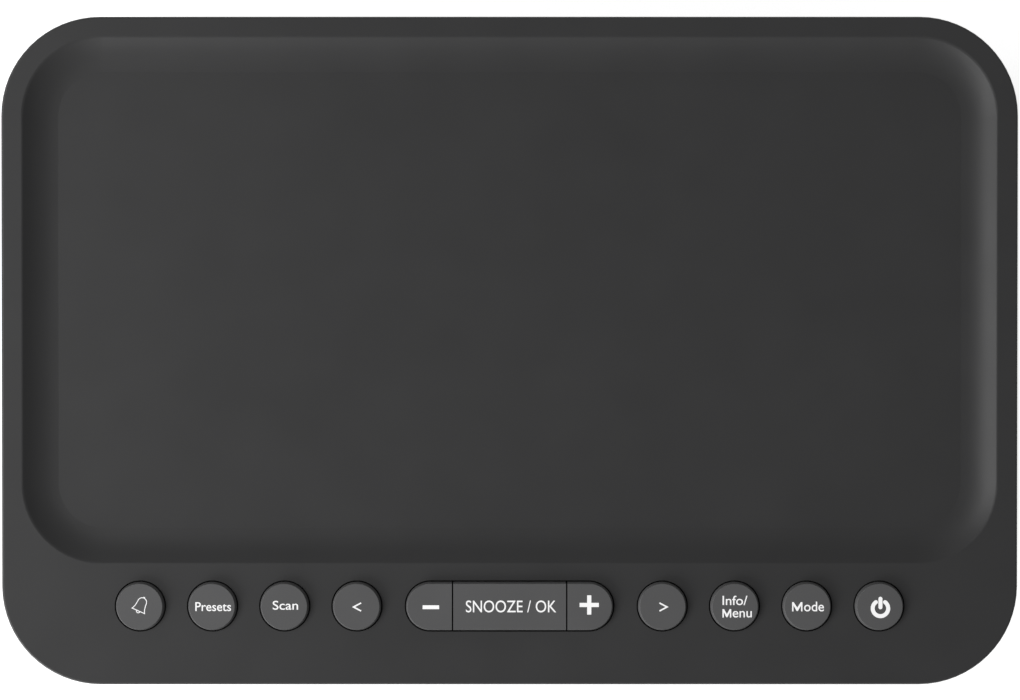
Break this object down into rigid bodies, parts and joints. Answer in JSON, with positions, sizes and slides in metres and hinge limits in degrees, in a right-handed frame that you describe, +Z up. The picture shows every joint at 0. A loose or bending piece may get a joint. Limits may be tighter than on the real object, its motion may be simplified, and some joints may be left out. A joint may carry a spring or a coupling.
{
  "type": "tabletop radio",
  "caption": "Dark grey bedside clock radio with a sunk phone tray and a row of press keys on top, display and two loudspeakers in front.",
  "frame": {"origin": "middle of the footprint, on the surface that the feet stand on", "axes": "+X to the right seen from the front, -Y towards the front with the display, +Z up"},
  "size_m": [0.18, 0.1182, 0.065],
  "materials": {
    "casing": "fine moulded texture, satin dark grey",
    "base_plastic": "fine moulded texture, dark grey",
    "key_plastic": "smooth satin grey",
    "rubber": "matte black rubber",
    "screw_steel": "zinc plated",
    "smoked_lens": "polished smoked acrylic",
    "display_glass": "polarised LCD glass",
    "light_guide": "clear acrylic",
    "white_plastic": "natural nylon",
    "circuit_board": "green solder mask",
    "switch_plastic": "black glass-filled nylon",
    "basket_paint": "black pressed steel",
    "magnet_steel": "ferrite and zinc plated steel",
    "foam": "open-cell foam",
    "grille_cloth": "woven black acoustic cloth",
    "tin_plate": "tinned steel",
    "chip_epoxy": "black moulded epoxy",
    "can_aluminium": "drawn aluminium",
    "wire_cover": "PVC insulation",
    "cone_paper": "pressed paper"
  },
  "bodies": {
    "casing": {"top_cover": "casing", "front_shell": "casing", "rear_shell": "casing", "base_cover": "base_plastic", "rubber_feet": "rubber", "base_screws": "screw_steel", "display_lens": "smoked_lens", "lcd_panel": "display_glass", "backlight_guide": "light_guide", "display_frame": "white_plastic", "display_pcb": "circuit_board", "display_screws": "screw_steel", "button_pcb": "circuit_board", "button_pcb_screws": "screw_steel", "tact_switches": "switch_plastic", "speaker_frames": "basket_paint", "speaker_magnets": "magnet_steel", "speaker_surrounds": "rubber", "speaker_gaskets": "foam", "speaker_cloths": "grille_cloth", "speaker_screws": "screw_steel", "main_pcb": "circuit_board", "main_pcb_screws": "screw_steel", "tuner_module": "circuit_board", "tuner_shield": "tin_plate", "main_chips": "chip_epoxy", "capacitors": "can_aluminium", "inductors": "chip_epoxy", "wire_connectors": "white_plastic", "dc_jack": "switch_plastic", "dc_jack_pin": "screw_steel", "usb_port": "tin_plate", "usb_tongue": "white_plastic", "headphone_jack": "switch_plastic", "aerial_gland": "rubber", "speaker_leads": "wire_cover", "button_ribbon": "white_plastic", "display_ribbon": "white_plastic"},
    "alarm_key": {"key_alarm": "key_plastic"},
    "presets_key": {"key_presets": "key_plastic"},
    "scan_key": {"key_scan": "key_plastic"},
    "previous_key": {"key_previous": "key_plastic"},
    "minus_key": {"key_minus": "key_plastic"},
    "snooze_key": {"key_snooze": "key_plastic"},
    "plus_key": {"key_plus": "key_plastic"},
    "next_key": {"key_next": "key_plastic"},
    "info_key": {"key_info": "key_plastic"},
    "mode_key": {"key_mode": "key_plastic"},
    "power_key": {"key_power": "key_plastic"},
    "left_cone": {"speaker_cone_left": "cone_paper"},
    "right_cone": {"speaker_cone_right": "cone_paper"}
  },
  "joints": [
    {"name": "alarm_press", "type": "slide", "parent": "casing", "child": "alarm_key", "axis": [0, 0, -1], "range_m": [0, 0.0005], "stiffness_N_per_m": 1500},
    {"name": "presets_press", "type": "slide", "parent": "casing", "child": "presets_key", "axis": [0, 0, -1], "range_m": [0, 0.0005], "stiffness_N_per_m": 1500},
    {"name": "scan_press", "type": "slide", "parent": "casing", "child": "scan_key", "axis": [0, 0, -1], "range_m": [0, 0.0005], "stiffness_N_per_m": 1500},
    {"name": "previous_press", "type": "slide", "parent": "casing", "child": "previous_key", "axis": [0, 0, -1], "range_m": [0, 0.0005], "stiffness_N_per_m": 1500},
    {"name": "minus_press", "type": "slide", "parent": "casing", "child": "minus_key", "axis": [0, 0, -1], "range_m": [0, 0.0005], "stiffness_N_per_m": 1500},
    {"name": "snooze_press", "type": "slide", "parent": "casing", "child": "snooze_key", "axis": [0, 0, -1], "range_m": [0, 0.0005], "stiffness_N_per_m": 1500},
    {"name": "plus_press", "type": "slide", "parent": "casing", "child": "plus_key", "axis": [0, 0, -1], "range_m": [0, 0.0005], "stiffness_N_per_m": 1500},
    {"name": "next_press", "type": "slide", "parent": "casing", "child": "next_key", "axis": [0, 0, -1], "range_m": [0, 0.0005], "stiffness_N_per_m": 1500},
    {"name": "info_press", "type": "slide", "parent": "casing", "child": "info_key", "axis": [0, 0, -1], "range_m": [0, 0.0005], "stiffness_N_per_m": 1500},
    {"name": "mode_press", "type": "slide", "parent": "casing", "child": "mode_key", "axis": [0, 0, -1], "range_m": [0, 0.0005], "stiffness_N_per_m": 1500},
    {"name": "power_press", "type": "slide", "parent": "casing", "child": "power_key", "axis": [0, 0, -1], "range_m": [0, 0.0005], "stiffness_N_per_m": 1500},
    {"name": "left_cone_stroke", "type": "slide", "parent": "casing", "child": "left_cone", "axis": [0, -1, 0], "range_m": [-0.0008, 0.0008], "stiffness_N_per_m": 1200},
    {"name": "right_cone_stroke", "type": "slide", "parent": "casing", "child": "right_cone", "axis": [0, -1, 0], "range_m": [-0.0008, 0.0008], "stiffness_N_per_m": 1200}
  ]
}
